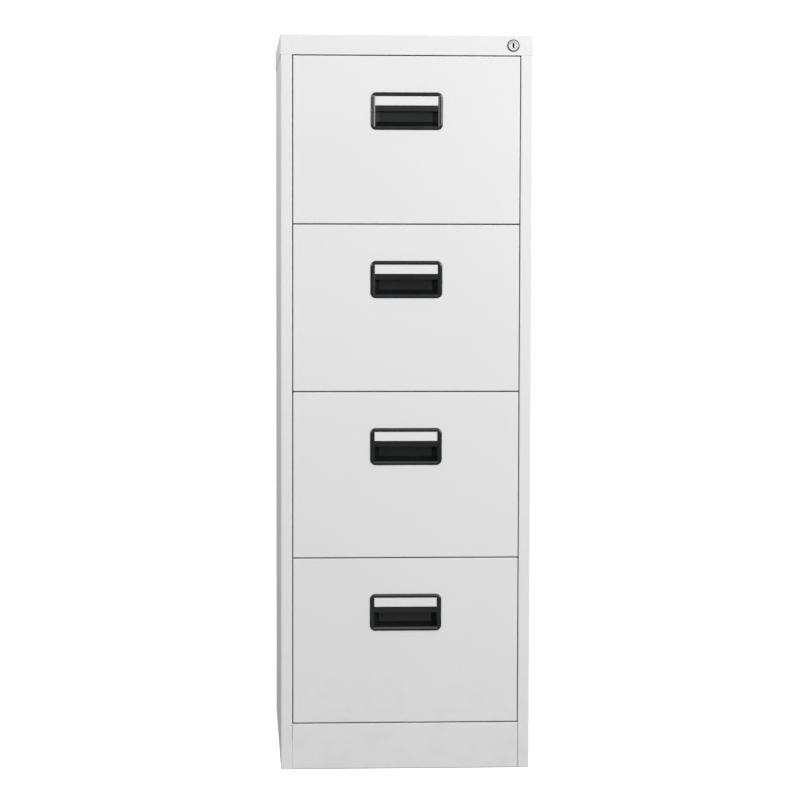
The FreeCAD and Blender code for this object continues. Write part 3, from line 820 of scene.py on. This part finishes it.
def plain_floor():
    """White paper, lit from behind to lose its shadows, and clear from below.

    It throws little light back on the object.
    """
    clear_selection()
    bpy.ops.mesh.primitive_plane_add(size=FLOOR_SIZE, location=(0, 0, 0))
    floor = bpy.context.object
    floor.name = "studio floor"
    surface = Finish("floor paper", Metallic=0.0, Specular_IOR_Level=0.1)
    tone = surface.noise(0.8, 2.0)
    seen = surface.node("ShaderNodeLightPath", output="Is Camera Ray")
    paper = surface.mix(tone, grey(FLOOR_SEEN - 0.01), grey(FLOOR_SEEN + 0.01))
    surface.set(Base_Color=surface.mix(seen, grey(FLOOR_BOUNCE), paper), Roughness=0.9 + tone * 0.1)
    surface.shader.inputs["Emission Strength"].default_value = FLOOR_LIFT
    surface.set(Emission_Color=surface.mix(seen, grey(FLOOR_GLOW), grey(1.0)))
    from_below = surface.node("ShaderNodeNewGeometry", output="Backfacing")
    surface.set(Alpha=1 - from_below)
    floor.data.materials.append(surface.material)


def softbox(name, place, target, width, height, power):
    data = bpy.data.lights.new(name, "AREA")
    data.shape = "RECTANGLE"
    data.size = width
    data.size_y = height
    data.energy = power
    lamp = bpy.data.objects.new(name, data)
    lamp.location = place
    lamp.rotation_euler = (Vector(target) - Vector(place)).to_track_quat("-Z", "Y").to_euler()
    lamp.visible_camera = False
    bpy.context.collection.objects.link(lamp)


SKY_BASE = 0.27
SKY_OVERHEAD = 1.8
OVERHEAD_FROM = 0.86
SKY_HIGH_FRONT = 1.15
HIGH_FRONT = (0.38, -0.82, 0.42)
HIGH_FRONT_FROM = 0.78
BACKDROP = 1.1


def studio_world():
    """A dim room lit from overhead and from high in front, before a white backdrop."""
    world = bpy.data.worlds.new("studio")
    bpy.context.scene.world = world
    world.use_nodes = True
    room = Nodes(world.node_tree)
    direction = room.node("ShaderNodeTexCoord", output="Generated")
    height = room.node("ShaderNodeSeparateXYZ", {"Vector": direction}, output="Z")
    facing = room.node("ShaderNodeVectorMath", {0: direction, 1: HIGH_FRONT}, output="Value",
                       operation="DOT_PRODUCT")
    overhead = height.between(OVERHEAD_FROM, 1.0) * SKY_OVERHEAD
    high_front = facing.between(HIGH_FRONT_FROM, 1.0) * SKY_HIGH_FRONT
    light = SKY_BASE + overhead + high_front
    seen = room.node("ShaderNodeLightPath", output="Is Camera Ray")
    strength = room.node("ShaderNodeMix", {0: seen, 2: light, 3: BACKDROP}, data_type="FLOAT")
    background = room.tree.nodes["Background"]
    room.feed(background.inputs["Color"], (1, 1, 1, 1))
    room.feed(background.inputs["Strength"], strength)


plain_floor()
studio_world()
softbox("high front softbox", (0.3, -3.0, 2.45), (0.0, -0.3, 1.0), 3.0, 1.8, 34)
softbox("right softbox", (1.9, -1.55, 1.85), (0.1, -0.3, 1.2), 0.5, 1.7, 30)
softbox("left softbox", (-1.9, -1.85, 1.95), (-0.1, -0.3, 1.2), 0.5, 1.5, 16.5)
softbox("high left softbox", (-1.5, 0.1, 2.3), (-0.2, 0.0, 1.1), 0.8, 0.8, 14)

CAMERA_LENS = 126.43
CAMERA_SENSOR = 36.0
CAMERA_PLACE = (-0.3021, -5.3672, 1.0189)
CAMERA_YAW = 0.0575
CAMERA_PITCH = -0.068
CAMERA_ROLL = 0.0024
camera_data = bpy.data.cameras.new("camera")
camera_data.sensor_width = CAMERA_SENSOR
camera_data.lens = CAMERA_LENS
camera = bpy.data.objects.new("camera", camera_data)
camera.location = CAMERA_PLACE
look = Vector((
    math.sin(CAMERA_YAW) * math.cos(CAMERA_PITCH),
    math.cos(CAMERA_YAW) * math.cos(CAMERA_PITCH),
    math.sin(CAMERA_PITCH),
))
level = look.to_track_quat("-Z", "Y").to_matrix()
camera.rotation_euler = (level @ Matrix.Rotation(CAMERA_ROLL, 3, "Z")).to_euler()
bpy.context.collection.objects.link(camera)
bpy.context.scene.camera = camera
bpy.context.scene.view_settings.view_transform = "Standard"
